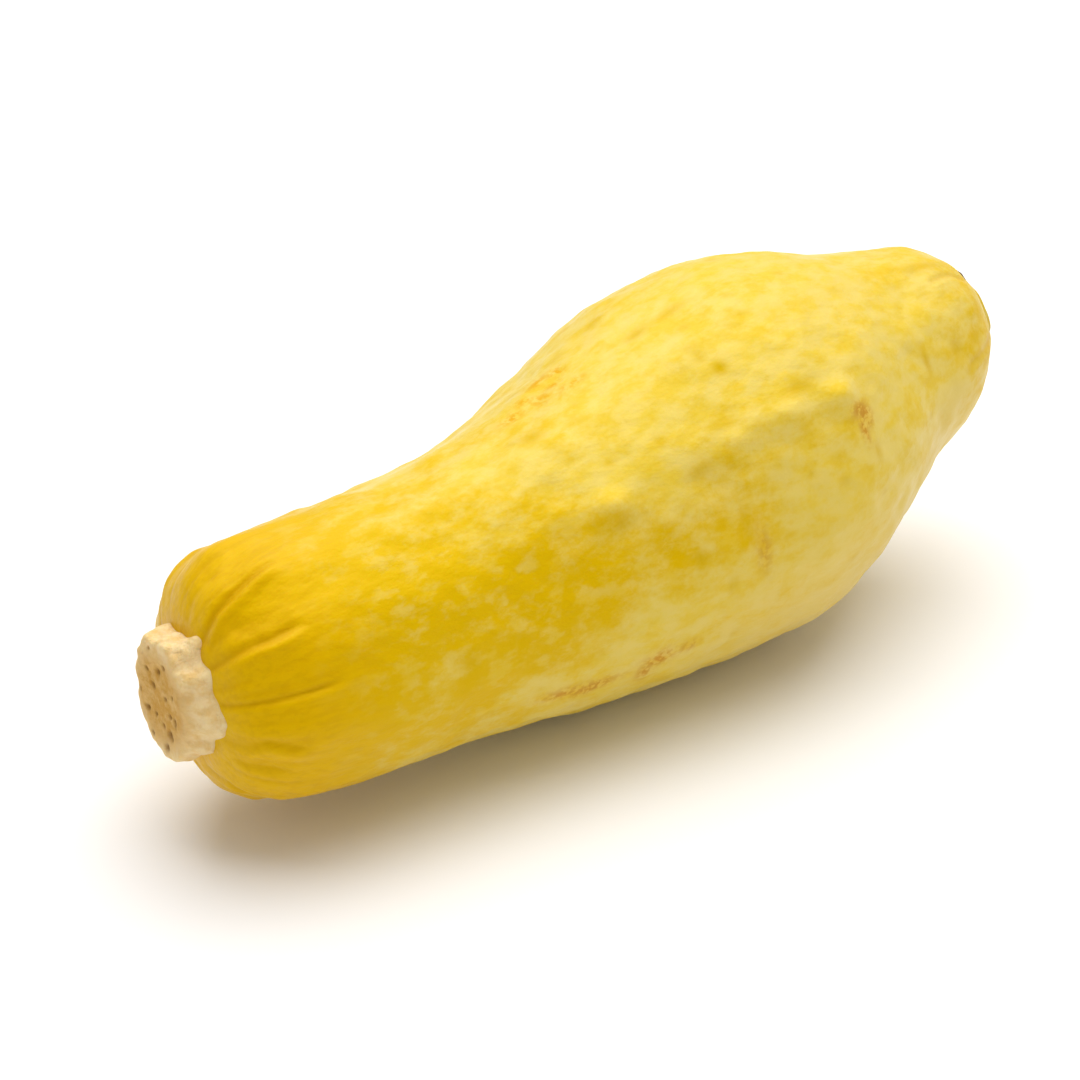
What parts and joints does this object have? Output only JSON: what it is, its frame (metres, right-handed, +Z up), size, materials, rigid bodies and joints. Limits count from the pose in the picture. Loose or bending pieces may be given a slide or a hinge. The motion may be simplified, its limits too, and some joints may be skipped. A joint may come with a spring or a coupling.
{
  "type": "yellow summer squash",
  "caption": "Whole yellow summer squash lying on its belly: slim neck with a cut stem stump, fuller belly, blunt blossom end with a dry scar.",
  "frame": {"origin": "on the surface the squash rests on, under the middle of its bounding box", "axes": "+X along the squash from the cut stem to the blossom end, +Z up"},
  "size_m": [0.1978, 0.0746, 0.0748],
  "materials": {
    "squash_skin": "satin waxy skin, deep gold on the neck mottling into pale lemon on the belly",
    "stem_cork": "dry matt cork, pale cream at the side and tan with brown pits on the cut face",
    "dry_scar": "dry matt dark brown, crusty"
  },
  "bodies": {
    "root": {"fruit": "squash_skin", "stem_stump": "stem_cork", "blossom_scar": "dry_scar"}
  },
  "joints": []
}
